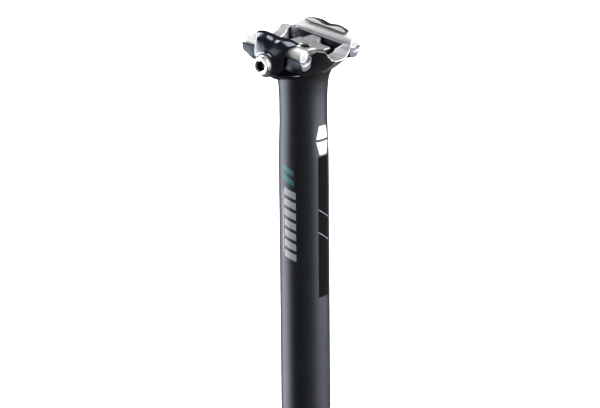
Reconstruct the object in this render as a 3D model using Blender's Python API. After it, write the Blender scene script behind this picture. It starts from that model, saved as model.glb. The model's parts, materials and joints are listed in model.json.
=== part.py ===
"""Side-binder seatpost: carbon shaft, forged head and a two-rail tilting saddle clamp.

World frame, metres: +Z up along the post, the saddle nose points to -Y, the clamp bolt's head is on -X.
The clamp pieces are modelled in a seat frame whose origin is the tilt axis and whose +Z is normal to the
saddle rails, then hung on an empty that leans the rails nose-down.
"""

import math

import bmesh
import bpy
from mathutils import Matrix, Vector

MM = 0.001

# Driving sizes, millimetres and degrees
RAIL_HEIGHT = 350.0  # bottom end of the shaft to the centre of the rails
RAIL_TILT = 8.75  # rails nose-down from the plane square to the post
SETBACK = 0.6  # tilt axis behind the post axis
TUBE_R = 13.6  # 27.2 mm seatpost
TUBE_BORE_R = 11.2
BOND_GAP = 0.3
SPIGOT_R = TUBE_BORE_R - BOND_GAP
SPIGOT_BORE_R = 8.4
SPIGOT_FOOT = -78.0  # below the tilt axis
MITRE_R = 36.8  # the shaft's top is mitred to a cylinder across the post, centred MITRE_RISE above the seat
MITRE_RISE = 18.0
SHAFT_TOP = -15.2
SEAT_R = 17.3  # the half-round seat the cradle tilts in
CRADLE_R = SEAT_R - 0.3
HEAD_HALF = 15.0
GAUGE_HALF = 22.0  # saddle rails 44 mm apart
RAIL_R = 3.5
RAIL_HALF = 19.3
CHANNEL_R = RAIL_R + 0.3
CLAMP_HALF = 20.5  # lower rail clamps, half length
BOLT_DROP = 8.5  # bolt axis below the rails
BOLT_R = 3.0
BOLT_HOLE_R = 3.3
BOLT_HEAD_R = 5.0
BOLT_END = 32.3
HEX_FLATS = 5.0
NUT_R = 4.5
BOSS_FACE = 31.0  # outer face of the clamp bosses, from the centre plane

# The front and rear rims of the seat are notched to this half outline (out, up)
NOTCH = [(0, -3.9), (3.6, -3.5), (6.6, -2.5), (9.1, -0.2), (10.6, 1.9), (11.3, 3.2), (11.6, 9.0)]

# Shaft radius by height below the tilt axis: flared under the head, slim waist, then plain tube
SHAFT_PROFILE = [
    (-350.0, TUBE_R - 0.5), (-349.5, TUBE_R), (-104.0, TUBE_R), (-90.0, 13.65), (-77.0, 13.7),
    (-63.0, 13.65), (-57.0, 13.5), (-50.0, 13.27), (-46.0, 13.13), (-40.0, 13.1), (-33.0, 13.15),
    (-28.0, 13.3), (-23.5, 13.65), (-21.0, 13.95), (-19.0, 14.4), (-17.5, 14.9), (-16.4, 15.5),
    (SHAFT_TOP, 16.3),
]

# Head walls: height, half width, reach to the front, reach to the rear, squareness of the outline
HEAD_RINGS = [
    (-19.6, 14.2, 14.3, 14.2, 2.0), (-18.6, 14.4, 14.6, 14.5, 2.0), (-17.4, 14.6, 15.0, 14.9, 2.0),
    (-16.4, 14.8, 15.7, 15.5, 2.0), (-15.2, 14.9, 16.6, 16.2, 2.0), (-13.7, 15.0, 18.6, 17.8, 2.1),
    (-10.5, 15.0, 22.6, 20.9, 2.35), (-7.8, 15.0, 25.4, 22.6, 2.7), (-4.0, 15.0, 26.8, 23.8, 3.2),
    (0.0, 15.0, 27.0, 24.4, 4.0), (9.0, 15.0, 26.6, 24.4, 4.0),
]

# Half section of the cradle's well, along the rails and up
WELL = [(0.0, -10.2), (11.8, -10.2), (13.6, -6.5), (14.2, -3.0), (13.3, 2.6), (13.3, 30.0), (0.0, 30.0)]

# Sections of a lower rail clamp about its rail (out, up), at its ends and under the outer clamp
TROUGH_END = [
    (-5.06, -0.4), (-5.1, -5.9), (-3.4, -7.4), (0.17, -7.9), (2.0, -7.0), (3.2, -5.1), (3.9, -3.2),
    (4.2, -1.7), (0.0, -1.7), (0.0, -0.4),
]
TROUGH_MID = [
    (-5.06, -0.4), (-5.1, -7.6), (-3.4, -9.6), (0.17, -10.4), (2.3, -9.4), (3.5, -6.8), (4.0, -3.8),
    (4.2, -1.7), (0.0, -1.7), (0.0, -0.4),
]

# Side outline of an outer clamp (along the rail, up): two top lobes, waist, boss, two lower horns
FACE = [
    (0.0, 6.0), (3.0, 6.3), (5.5, 6.9), (9.5, 7.3), (12.5, 6.6), (14.6, 5.5), (15.7, 4.6), (15.2, 4.0),
    (12.8, 3.6), (11.4, 2.6), (10.5, 0.5), (10.3, -2.0), (10.5, -5.0), (11.0, -8.0), (11.6, -10.5),
    (12.3, -12.5), (13.4, -14.3), (11.0, -16.2), (8.0, -17.8), (4.0, -19.1), (0.0, -19.5),
]

# Outer skin of an outer clamp (out, along, up): the hull of these and their mirror across the bolt
SKIN = [
    (22.4, 15.7, 4.7), (21.4, 15.6, 5.5), (22.0, 9.5, 7.3), (19.0, 9.5, 7.3), (20.4, 15.7, 4.0),
    (25.0, 12.5, 5.2), (27.4, 11.5, 3.4), (26.0, 5.5, 5.6), (29.4, 10.3, -0.5), (29.2, 10.5, -3.0),
    (28.0, 10.7, -6.0), (24.7, 11.5, -9.8), (20.5, 12.4, -12.6), (14.6, 13.5, -14.6), (31.0, 4.6, -4.6),
    (31.0, 4.6, -11.4), (26.6, 6.0, -14.2), (23.2, 4.0, -17.0), (18.4, 2.0, -19.5), (19.0, 8.0, -17.0),
    (11.0, 13.5, -14.6), (11.0, 2.0, -19.6), (11.0, 15.7, 4.0),
]


def mesh_object(name, bm):
    """A new object from a bmesh in millimetres, its faces turned outward."""
    bmesh.ops.recalc_face_normals(bm, faces=bm.faces)
    bmesh.ops.scale(bm, vec=(MM, MM, MM), verts=bm.verts)
    mesh = bpy.data.meshes.new(name)
    bm.to_mesh(mesh)
    bm.free()
    obj = bpy.data.objects.new(name, mesh)
    bpy.context.scene.collection.objects.link(obj)
    return obj


def loft(name, rings, cyclic=False):
    """Joins rings of equally many points; the ends are capped unless the rings close on themselves."""
    bm = bmesh.new()
    rows = [[bm.verts.new(p) for p in ring] for ring in rings]
    count = len(rows[0])
    pairs = list(zip(rows, rows[1:] + rows[:1])) if cyclic else list(zip(rows, rows[1:]))
    for low, high in pairs:
        for i in range(count):
            j = (i + 1) % count
            bm.faces.new((low[i], low[j], high[j], high[i]))
    if not cyclic:
        bm.faces.new(rows[0][::-1])
        bm.faces.new(rows[-1])
    return mesh_object(name, bm)


def prism(name, outline, axis, low, high):
    """Extrudes a flat outline. Axis X takes (y, z) pairs, Y takes (x, z) and Z takes (x, y)."""
    place = {
        "X": lambda p, t: (t, p[0], p[1]),
        "Y": lambda p, t: (p[0], t, p[1]),
        "Z": lambda p, t: (p[0], p[1], t),
    }[axis]
    return loft(name, [[place(p, t) for p in outline] for t in (low, high)])


def turned(name, profile, axis, centre=(0.0, 0.0), segments=48):
    """Turns a closed profile of (radius, along) round an axis; a radius of zero becomes a hair's bore."""
    rings = []
    for k in range(segments):
        angle = 2 * math.pi * (k + 0.5) / segments
        c, s = math.cos(angle), math.sin(angle)
        if axis == "X":
            rings.append([(a, centre[0] + r * c, centre[1] + r * s) for r, a in profile])
        else:
            rings.append([(centre[0] + r * c, centre[1] + r * s, a) for r, a in profile])
    return loft(name, rings, cyclic=True)


def rod(name, radius, low, high, axis="X", centre=(0.0, 0.0), segments=48, chamfer=0.0):
    """A solid cylinder along X, Y or Z, with both ends chamfered if asked."""
    inset = radius - chamfer
    stations = [(inset, low), (radius, low + chamfer), (radius, high - chamfer), (inset, high)]
    if not chamfer:
        stations = [(radius, low), (radius, high)]
    place = {
        "X": lambda c, s, t: (t, centre[0] + c, centre[1] + s),
        "Y": lambda c, s, t: (centre[0] + c, t, centre[1] + s),
        "Z": lambda c, s, t: (centre[0] + c, centre[1] + s, t),
    }[axis]
    angles = [2 * math.pi * (k + 0.5) / segments for k in range(segments)]
    return loft(name, [[place(r * math.cos(a), r * math.sin(a), t) for a in angles] for r, t in stations])


def block(name, low, high):
    corners = [(low[0], low[1]), (high[0], low[1]), (high[0], high[1]), (low[0], high[1])]
    return prism(name, corners, "Z", low[2], high[2])


def hull(name, points):
    bm = bmesh.new()
    for p in points:
        bm.verts.new(p)
    made = bmesh.ops.convex_hull(bm, input=bm.verts)
    unused = [v for v in made["geom_unused"] if isinstance(v, bmesh.types.BMVert)]
    bmesh.ops.delete(bm, geom=unused, context="VERTS")
    return mesh_object(name, bm)


def ball(name, centre, radii):
    bm = bmesh.new()
    bmesh.ops.create_uvsphere(bm, u_segments=24, v_segments=14, radius=1.0)
    bmesh.ops.scale(bm, vec=radii, verts=bm.verts)
    bmesh.ops.translate(bm, vec=centre, verts=bm.verts)
    return mesh_object(name, bm)


def combine(target, tool, operation):
    """Applies one exact Boolean and discards the tool."""
    step = target.modifiers.new("step", "BOOLEAN")
    step.operation, step.solver, step.object = operation, "EXACT", tool
    graph = bpy.context.evaluated_depsgraph_get()
    mesh = bpy.data.meshes.new_from_object(target.evaluated_get(graph))
    target.modifiers.clear()
    old, target.data = target.data, mesh
    mesh.name = target.name
    bpy.data.meshes.remove(old)
    bpy.data.objects.remove(tool)
    return target


def cut(target, *tools):
    for tool in tools:
        combine(target, tool, "DIFFERENCE")
    return target


def join(target, *tools):
    for tool in tools:
        combine(target, tool, "UNION")
    return target


def keep(target, *tools):
    for tool in tools:
        combine(target, tool, "INTERSECT")
    return target


def both_sides(half):
    """A symmetric outline from one half that runs from the centre line outward."""
    return half + [(-x, y) for x, y in reversed(half) if x > 0]


def tilted(obj):
    """Moves a tool from the seat frame to the post frame."""
    obj.data.transform(Matrix.Rotation(math.radians(RAIL_TILT), 4, "X"))
    return obj


def carbon_shaft():
    outer = [(r, z) for z, r in SHAFT_PROFILE]
    bore = [(TUBE_BORE_R, SHAFT_TOP), (TUBE_BORE_R, -350.0)]
    shaft = turned("carbon_shaft", outer + bore, "Z", (0.0, -SETBACK))
    return cut(shaft, rod("mitre", MITRE_R, -20.0, 20.0, centre=(0.0, MITRE_RISE), segments=192))


def wall_ring(height, half, front, rear, square):
    points = []
    for k in range(56):
        c, s = math.cos(2 * math.pi * (k + 0.5) / 56), math.sin(2 * math.pi * (k + 0.5) / 56)
        reach = rear if s > 0 else front
        x = math.copysign(half * abs(c) ** (2 / square), c)
        y = math.copysign(reach * abs(s) ** (2 / square), s)
        points.append((x, y - SETBACK, height))
    return points


def forged_head():
    head = loft("forged_head", [wall_ring(*ring) for ring in HEAD_RINGS])
    foot = rod("foot", MITRE_R - BOND_GAP, -40.0, 40.0, centre=(0.0, MITRE_RISE), segments=192)
    flank = [(0.5, -HEAD_HALF), (17.6, -HEAD_HALF), (18.9, -13.8), (40.0, -13.8)]
    flank += [(r, -x) for r, x in reversed(flank)]
    keep(head, foot)
    lower = keep(rod("lower", 40.0, -20.0, 20.0), block("below", (-30, -40, -40), (30, 40, -9.0)))
    keep(lower, turned("flank", flank, "X", segments=96))
    upper = block("upper", (-30, -40, -9.2), (30, 40, 30))
    keep(head, join(lower, upper))
    join(head, rod("spigot", SPIGOT_R, SPIGOT_FOOT, -17.9, "Z", (0.0, -SETBACK), chamfer=0.6))
    tools = [
        rod("seat", SEAT_R, -30.0, 30.0, segments=96),
        tilted(prism("notch", both_sides(NOTCH), "Y", -40.0, 40.0)),
        tilted(block("front_top", (-30, -40, 2.3), (30, 0, 30))),
        tilted(block("rear_top", (-30, -1, 1.2), (30, 40, 30))),
        rod("spigot_bore", SPIGOT_BORE_R, SPIGOT_FOOT - 5, -24.0, "Z", (0.0, -SETBACK)),
    ]
    return cut(head, *tools)


def rail_cradle():
    cradle = rod("rail_cradle", CRADLE_R, -14.6, 14.6, segments=96)
    cut(
        cradle,
        block("rear_top", (-30, -1, 1.9), (30, 30, 30)),
        block("front_top", (-30, -30, -2.6), (30, 0, 30)),
        prism("well", both_sides(WELL), "X", -30.0, 30.0),
        block("gate", (-11.0, -30, -6.4), (11.0, 30, 30)),
    )
    join(
        cradle,
        block("shelf", (-13.0, -11.4, -10.8), (13.0, 11.4, -3.0)),
        block("rib", (-16.5, -1.6, -12.4), (16.5, 6.2, -0.7)),
        rod("hub", 5.6, -14.0, 14.0, centre=(0.0, -BOLT_DROP), segments=40),
    )
    return cut(
        cradle,
        rod("bore", BOLT_HOLE_R, -20.0, 20.0, centre=(0.0, -BOLT_DROP), segments=32),
        rod("window", 3.1, -7.0, 5.0, "Z", (0.6, -1.6), segments=32),
        block("saddle", (-10.0, -30, -2.6), (10.0, 30, 30)),
    )


def lower_rail_clamp(name, side):
    """side is +1 on the nut side and -1 on the bolt side."""
    x = side * GAUGE_HALF
    stations = [(-CLAMP_HALF, TROUGH_END), (-13.0, TROUGH_MID), (13.0, TROUGH_MID), (CLAMP_HALF, TROUGH_END)]
    clamp = loft(name, [[(x + side * u, y, w) for u, w in section] for y, section in stations])
    inner, outer = sorted((side * 16.75, side * 26.3))
    left, right = sorted((x - side * 20, x + side * 3))
    join(clamp, rod("lug", 4.6, inner, outer, centre=(0.0, -BOLT_DROP), segments=40))
    cut(
        clamp,
        rod("channel", CHANNEL_R, -30.0, 30.0, "Y", (x, 0.0), segments=40),
        block("mouth", (left, -30, -0.4), (right, 30, 5)),
        rod("bore", BOLT_HOLE_R, inner - 5, outer + 5, centre=(0.0, -BOLT_DROP), segments=32),
    )
    angles = [2 * math.pi * (k + 0.5) / 40 for k in range(40)]
    for end in (-1, 1):
        stations = ((3.4, CLAMP_HALF - 2.6), (5.2, CLAMP_HALF + 1.0))
        rings = [[(x + r * math.cos(a), end * y, r * math.sin(a)) for a in angles] for r, y in stations]
        cut(clamp, loft("bell", rings))
    return clamp


def outer_clamp(name, side, hole_r):
    """The C-shaped jaw over a rail: side outline, outer skin, then the pockets it closes round."""
    x = side * GAUGE_HALF
    clamp = prism(name, both_sides(FACE), "X", *sorted((side * 11.0, side * 36.0)))
    keep(clamp, hull("skin", [(side * u, sign * v, w) for u, v, w in SKIN for sign in (-1, 1)]))
    boss, bolt_line = sorted((side * 27.0, side * BOSS_FACE)), (0.0, -BOLT_DROP)
    join(clamp, rod("boss", 6.6, *boss, centre=bolt_line, chamfer=0.6))
    cone = [
        (2.0, 4.0), (2.0, 16.9), (17.35, 16.9), (17.35, 15.35), (17.75, 15.35), (18.25, 14.9), (22.0, 14.9),
        (22.0, 4.0),
    ]
    pocket = [(16.0, 3.8), (16.0, -13.6), (26.0, -13.6), (26.7, -12.8), (26.7, -1.0), (25.6, 1.0), (22.0, 3.8)]
    throat = [
        (2.0, -13.6), (2.0, 12.0), (21.4, 12.0), (20.9, 7.2), (20.4, 6.1), (19.4, 3.9), (19.3, 3.6),
        (16.4, -13.6),
    ]
    spot = sorted((side * (BOSS_FACE - 0.6), side * 40.0))
    cut(
        clamp,
        turned("cone", [(r, side * u) for r, u in cone], "X", segments=96),
        prism("pocket", [(side * u, w) for u, w in pocket], "Y", -30.0, 30.0),
        prism("throat", [(side * u, w) for u, w in throat], "Y", -30.0, 30.0),
        rod("groove", CHANNEL_R, -30.0, 30.0, "Y", (x, 0.0), segments=40),
        ball("scallop", (side * 31.4, 0.0, 6.8), (5.7, 5.0, 6.6)),
        rod("bolt_hole", hole_r, *sorted((side * 20.0, side * 40.0)), centre=(0.0, -BOLT_DROP), segments=32),
        rod("spot_face", 6.0, *spot, centre=bolt_line, segments=40),
    )
    return clamp


def clamp_bolt():
    bolt = rod("clamp_bolt", BOLT_HEAD_R, -34.0, -32.0, centre=(0.0, -BOLT_DROP), chamfer=0.3)
    join(bolt, rod("shank", BOLT_R, -32.5, BOLT_END, centre=(0.0, -BOLT_DROP), segments=32, chamfer=0.5))
    corner = HEX_FLATS / math.sqrt(3)
    corners = [
        (corner * math.cos(math.pi * k / 3), corner * math.sin(math.pi * k / 3) - BOLT_DROP)
        for k in range(6)
    ]
    return cut(bolt, prism("hex", corners, "X", -40.0, -31.4))


def bolt_washer():
    profile = [(BOLT_HOLE_R, -31.7), (5.1, -31.7), (5.6, -31.1), (5.7, -30.7), (BOLT_HOLE_R, -30.7)]
    return turned("bolt_washer", profile, "X", (0.0, -BOLT_DROP))


def barrel_nut():
    profile = [
        (BOLT_HOLE_R, 26.9), (NUT_R, 26.9), (NUT_R, 30.7), (5.6, 30.7), (5.6, 32.2), (5.1, 32.7),
        (BOLT_HOLE_R, 32.7),
    ]
    return turned("barrel_nut", profile, "X", (0.0, -BOLT_DROP))


def shipping_rod(name, side):
    return rod(name, RAIL_R, -RAIL_HALF, RAIL_HALF, "Y", (side * GAUGE_HALF, 0.0), segments=40, chamfer=0.8)


def empty(name, parent=None):
    made = bpy.data.objects.new(name, None)
    made.empty_display_size = 0.01
    bpy.context.scene.collection.objects.link(made)
    made.parent = parent
    return made


def paint(obj, colour, metallic, roughness):
    material = bpy.data.materials.new(obj.name)
    material.use_nodes = True
    shader = material.node_tree.nodes["Principled BSDF"]
    shader.inputs["Base Color"].default_value = (*colour, 1.0)
    shader.inputs["Metallic"].default_value = metallic
    shader.inputs["Roughness"].default_value = roughness
    obj.data.materials.clear()
    obj.data.materials.append(material)


def hang(parent, *objects):
    """Puts each object's origin on its joint axis, where the empty is."""
    for obj in objects:
        obj.parent = parent


def main():
    for obj in list(bpy.data.objects):
        bpy.data.objects.remove(obj)
    post_axis = empty("post_axis")
    post_axis.location = (0.0, SETBACK * MM, RAIL_HEIGHT * MM)
    seat_axis = empty("seat_axis", post_axis)
    seat_axis.rotation_euler = (math.radians(RAIL_TILT), 0.0, 0.0)
    bolt_axis = empty("bolt_axis", seat_axis)
    bolt_axis.location = (0.0, 0.0, -BOLT_DROP * MM)

    shaft, head, cradle = carbon_shaft(), forged_head(), rail_cradle()
    lower = [lower_rail_clamp("right_lower_rail_clamp", -1), lower_rail_clamp("left_lower_rail_clamp", 1)]
    outer = [
        outer_clamp("right_outer_clamp", -1, BOLT_HOLE_R),
        outer_clamp("left_outer_clamp", 1, NUT_R + 0.3),
    ]
    rods = [shipping_rod("right_shipping_rod", -1), shipping_rod("left_shipping_rod", 1)]
    bolt, washer, nut = clamp_bolt(), bolt_washer(), barrel_nut()
    for obj in (bolt, washer, nut):
        obj.data.transform(Matrix.Translation(Vector((0.0, 0.0, BOLT_DROP * MM))))

    hang(post_axis, shaft, head)
    hang(seat_axis, cradle, *lower, *outer, *rods)
    hang(bolt_axis, bolt, washer, nut)

    paint(shaft, (0.030, 0.031, 0.034), 0.0, 0.42)
    paint(head, (0.045, 0.045, 0.048), 0.2, 0.5)
    paint(cradle, (0.62, 0.62, 0.63), 1.0, 0.45)
    for obj in lower:
        paint(obj, (0.09, 0.10, 0.13), 0.8, 0.35)
    for obj in outer:
        paint(obj, (0.020, 0.020, 0.023), 0.5, 0.16)
    for obj in rods:
        paint(obj, (0.80, 0.80, 0.80), 0.3, 0.35)
    paint(bolt, (0.70, 0.70, 0.70), 1.0, 0.22)
    paint(washer, (0.66, 0.66, 0.67), 1.0, 0.3)
    paint(nut, (0.60, 0.60, 0.61), 1.0, 0.3)


main()
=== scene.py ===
"""Looks of the side-binder seatpost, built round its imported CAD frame.

Each visible piece replaces its CAD node with a finer mesh of the same size. Forged and machined pieces are
drawn as signed distance fields in millimetres, meshed where the field is zero. Turned pieces and the tube are
swept directly. Coordinates of a field are (out, front, up) about the tilt axis for the clamp pieces, and
(x, y, z) about the post's axis at the height of the rails for the head.
"""

import json
import math

import bmesh
import bpy
import numpy as np
from mathutils import Matrix, Vector


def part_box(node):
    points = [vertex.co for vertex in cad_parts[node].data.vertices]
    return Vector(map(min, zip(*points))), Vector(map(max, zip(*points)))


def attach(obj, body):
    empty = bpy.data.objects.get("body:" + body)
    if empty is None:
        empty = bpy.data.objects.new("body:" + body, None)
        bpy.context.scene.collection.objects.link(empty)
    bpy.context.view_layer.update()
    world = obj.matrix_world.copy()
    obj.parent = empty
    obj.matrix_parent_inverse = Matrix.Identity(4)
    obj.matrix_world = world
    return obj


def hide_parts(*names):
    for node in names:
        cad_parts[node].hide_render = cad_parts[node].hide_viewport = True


MM = 0.001

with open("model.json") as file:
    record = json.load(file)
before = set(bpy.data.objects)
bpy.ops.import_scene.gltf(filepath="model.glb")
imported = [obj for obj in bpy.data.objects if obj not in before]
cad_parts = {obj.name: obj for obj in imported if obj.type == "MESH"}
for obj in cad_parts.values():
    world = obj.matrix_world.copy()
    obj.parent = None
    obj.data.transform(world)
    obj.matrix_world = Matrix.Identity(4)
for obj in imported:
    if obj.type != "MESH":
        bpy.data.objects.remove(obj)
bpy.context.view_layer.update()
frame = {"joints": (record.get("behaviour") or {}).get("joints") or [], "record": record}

# ---------------------------------------------------------------- places, from the frame

joints = {joint["name"]: joint for joint in frame["joints"]}
PIVOT = Vector(joints["head_tilt"]["pos_m"])
NOSE = Vector(joints["right_rod_slide"]["axis"]).normalized()
SIDE = Vector((1.0, 0.0, 0.0))
SEAT_UP = SIDE.cross(-NOSE)
SEAT = Matrix.Translation(PIVOT) @ Matrix((SIDE, -NOSE, SEAT_UP)).transposed().to_4x4()
POST = Matrix.Translation((0.0, 0.0, PIVOT.z))
LEAN = math.atan2(-NOSE.z, -NOSE.y)  # rails nose-down
SETBACK = PIVOT.y / MM
BOLT_UP = (SEAT.inverted() @ Vector(joints["bolt_turn"]["pos_m"])).z / MM

rod_low, rod_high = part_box("left_shipping_rod")
GAUGE_HALF = (rod_low.x + rod_high.x) / 2 / MM
ROD_R = (rod_high.x - rod_low.x) / 2 / MM
bolt_low, bolt_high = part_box("clamp_bolt")
BOLT_HEAD_FACE = -bolt_low.x / MM
BOLT_END = bolt_high.x / MM
FOOT_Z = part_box("carbon_shaft")[0].z / MM - PIVOT.z / MM

# ---------------------------------------------------------------- sizes, millimetres

TUBE_R, TUBE_BORE_R = 13.6, 11.2
SHAFT_PROFILE = [
    (TUBE_R - 0.5, FOOT_Z), (TUBE_R, FOOT_Z + 0.5), (TUBE_R, -104.0), (13.65, -90.0), (13.7, -77.0),
    (13.65, -63.0), (13.5, -57.0), (13.27, -50.0), (13.13, -46.0), (13.1, -40.0), (13.15, -33.0),
    (13.3, -28.0), (13.65, -23.5), (13.95, -21.0), (14.4, -19.0), (14.9, -17.5), (15.5, -16.4),
    (16.3, -15.2),
]
SHAFT_SIDES = 192
BEND_FROM = -40.0  # above this the tube's rings bend towards the mitre
MITRE_R, MITRE_RISE, BOND_GAP = 36.8, 18.0, 0.3
SEAT_R, CRADLE_R = 17.3, 17.0
HEAD_HALF, HEAD_FOOT = 15.0, -20.0  # half width of the cup, height of its underside
FRONT_RIM, REAR_RIM = 2.3, 1.2  # heights of the machined rims, square to the seat
CHANNEL_R = ROD_R + 0.3
BOLT_HOLE_R, NUT_R, BOSS_FACE = 3.3, 4.5, 31.0

HEAD_RINGS = np.array([  # height, half width, reach to the front, reach to the rear, squareness
    (-19.6, 14.2, 14.3, 14.2, 2.0), (-18.6, 14.4, 14.6, 14.5, 2.0), (-17.4, 14.6, 15.0, 14.9, 2.0),
    (-16.4, 14.8, 15.7, 15.5, 2.0), (-15.2, 14.9, 16.6, 16.2, 2.0), (-13.7, 15.0, 18.6, 17.8, 2.1),
    (-10.5, 15.0, 22.6, 20.9, 2.35), (-7.8, 15.0, 25.4, 22.6, 2.7), (-4.0, 15.0, 26.8, 23.8, 3.2),
    (0.0, 15.0, 27.0, 24.4, 4.0), (9.0, 15.0, 26.6, 24.4, 4.0),
])
NOTCH = [(0, -3.9), (3.6, -3.5), (6.6, -2.5), (9.1, -0.2), (10.6, 1.9), (11.3, 3.2), (11.6, 30.0)]
WELL = [(0.0, -10.2), (11.8, -10.2), (13.6, -6.5), (14.2, -3.0), (13.3, 2.6), (13.3, 30.0), (0.0, 30.0)]
TROUGH_END = [
    (-5.06, 3.0), (-5.06, -0.4), (-5.1, -5.9), (-3.4, -7.4), (0.17, -7.9), (2.0, -7.0), (3.2, -5.1),
    (3.9, -3.2), (4.2, -1.7), (4.2, 3.0),
]
TROUGH_MID = [
    (-5.06, 3.0), (-5.06, -0.4), (-5.1, -7.6), (-3.4, -9.6), (0.17, -10.4), (2.3, -9.4), (3.5, -6.8),
    (4.0, -3.8), (4.2, -1.7), (4.2, 3.0),
]
TROUGH_HALF = 20.5
FACE = [
    (0.0, 6.0), (3.0, 6.3), (5.5, 6.9), (9.5, 7.3), (12.5, 6.6), (14.6, 5.5), (15.7, 4.6), (15.2, 4.0),
    (12.8, 3.6), (11.4, 2.6), (10.5, 0.5), (10.3, -2.0), (10.5, -5.0), (11.0, -8.0), (11.6, -10.5),
    (12.3, -12.5), (13.4, -14.3), (11.0, -16.2), (8.0, -17.8), (4.0, -19.1), (0.0, -19.5),
]
SKIN = [
    (22.4, 15.7, 4.7), (21.4, 15.6, 5.5), (22.0, 9.5, 7.3), (19.0, 9.5, 7.3), (20.4, 15.7, 4.0),
    (25.0, 12.5, 5.2), (27.4, 11.5, 3.4), (26.0, 5.5, 5.6), (29.4, 10.3, -0.5), (29.2, 10.5, -3.0),
    (28.0, 10.7, -6.0), (24.7, 11.5, -9.8), (20.5, 12.4, -12.6), (14.6, 13.5, -14.6), (31.0, 4.6, -4.6),
    (31.0, 4.6, -11.4), (26.6, 6.0, -14.2), (23.2, 4.0, -17.0), (18.4, 2.0, -19.5), (19.0, 8.0, -17.0),
    (11.0, 13.5, -14.6), (11.0, 2.0, -19.6), (11.0, 15.7, 4.0),
]

# ---------------------------------------------------------------- distance fields


def soft_min(a, b, k):
    """The union of two fields, with a fillet about k wide."""
    h = np.clip(0.5 + 0.5 * (b - a) / k, 0.0, 1.0)
    return b + (a - b) * h - k * h * (1.0 - h)


def soft_max(a, b, k):
    """The part inside both fields, its new edge rounded over about k."""
    return -soft_min(-a, -b, k)


def carve(a, b, k):
    """Field a with field b cut away."""
    return -soft_min(-a, b, k)


def both_sides(half):
    return half + [(-x, y) for x, y in reversed(half) if x > 0]


def catmull_rom(before, start, end, after, t):
    """The point a share t of the way from start to end, on the smooth curve through all four."""
    return 0.5 * (
        2 * start + (end - before) * t + (2 * before - 5 * start + 4 * end - after) * t**2
        + (3 * start - before - 3 * end + after) * t**3
    )


def rounded(points, steps=4):
    """A closed outline smoothly through the points."""
    p = np.array(points, float)
    before, end, after = np.roll(p, 1, 0), np.roll(p, -1, 0), np.roll(p, -2, 0)
    curve = [catmull_rom(before, p, end, after, t) for t in np.arange(steps) / steps]
    return np.stack(curve, 1).reshape(-1, 2)


def smooth_profile(points, steps=6):
    """An open line smoothly through the points."""
    p = np.array(points, float)
    p = np.vstack([2 * p[0] - p[1], p, 2 * p[-1] - p[-2]])
    curve = [
        catmull_rom(*p[i - 1:i + 3], t)
        for i in range(1, len(p) - 2) for t in np.arange(steps) / steps
    ]
    return np.array([*curve, p[-2]])


def outline_field(points, step=0.15, margin=4.0):
    """Signed distance to a flat outline as a function of two coordinates, read from a table."""
    p = np.array(points, float)
    low, high = p.min(0) - margin, p.max(0) + margin
    xs, ys = np.arange(low[0], high[0], step), np.arange(low[1], high[1], step)
    gx, gy = np.meshgrid(xs, ys, indexing="ij")
    nearest, inside = np.full(gx.shape, np.inf), np.zeros(gx.shape, bool)
    for (ax, ay), (bx, by) in zip(p, np.roll(p, -1, 0)):
        dx, dy = bx - ax, by - ay
        t = np.clip(((gx - ax) * dx + (gy - ay) * dy) / max(dx * dx + dy * dy, 1e-12), 0.0, 1.0)
        nearest = np.minimum(nearest, np.hypot(gx - ax - t * dx, gy - ay - t * dy))
        if ay != by:
            inside ^= ((ay > gy) != (by > gy)) & (gx < ax + (gy - ay) * dx / dy)
    table = np.where(inside, -nearest, nearest)

    def distance(x, y):
        fx = np.clip((x - low[0]) / step, 0, len(xs) - 1.001)
        fy = np.clip((y - low[1]) / step, 0, len(ys) - 1.001)
        i, j = fx.astype(int), fy.astype(int)
        fx, fy = fx - i, fy - j
        near = table[i, j] * (1 - fx) + table[i + 1, j] * fx
        far = table[i, j + 1] * (1 - fx) + table[i + 1, j + 1] * fx
        return near * (1 - fy) + far * fy

    return distance


def hull_field(points, k):
    """The convex hull of a few points, its edges rounded over about k."""
    bm = bmesh.new()
    for p in points:
        bm.verts.new(p)
    bmesh.ops.convex_hull(bm, input=bm.verts)
    bmesh.ops.recalc_face_normals(bm, faces=bm.faces)
    planes = {tuple(round(c, 3) for c in (*f.normal, f.normal.dot(f.verts[0].co))) for f in bm.faces}
    bm.free()
    planes = np.array(sorted(planes))

    def distance(x, y, z):
        total = np.zeros(x.shape)
        for a, b, c, d in planes:
            total += np.exp(np.clip((a * x + b * y + c * z - d) / k, -60.0, 60.0))
        return k * np.log(total + 1e-30)

    return distance


def box_field(x, y, z, low, high):
    q = [np.abs(c - (a + b) / 2) - (b - a) / 2 for c, a, b in zip((x, y, z), low, high)]
    outside = np.sqrt(sum(np.maximum(c, 0.0) ** 2 for c in q))
    return outside + np.minimum(np.maximum(np.maximum(q[0], q[1]), q[2]), 0.0)


def capsule_field(x, y, z, a, b, radius_a, radius_b):
    """A tapering rod with round ends."""
    a, b = np.array(a, float), np.array(b, float)
    d = b - a
    t = np.clip(((x - a[0]) * d[0] + (y - a[1]) * d[1] + (z - a[2]) * d[2]) / (d @ d), 0.0, 1.0)
    gap = np.sqrt((x - a[0] - t * d[0]) ** 2 + (y - a[1] - t * d[1]) ** 2 + (z - a[2] - t * d[2]) ** 2)
    return gap - (radius_a + (radius_b - radius_a) * t)


# ---------------------------------------------------------------- meshing


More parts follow.
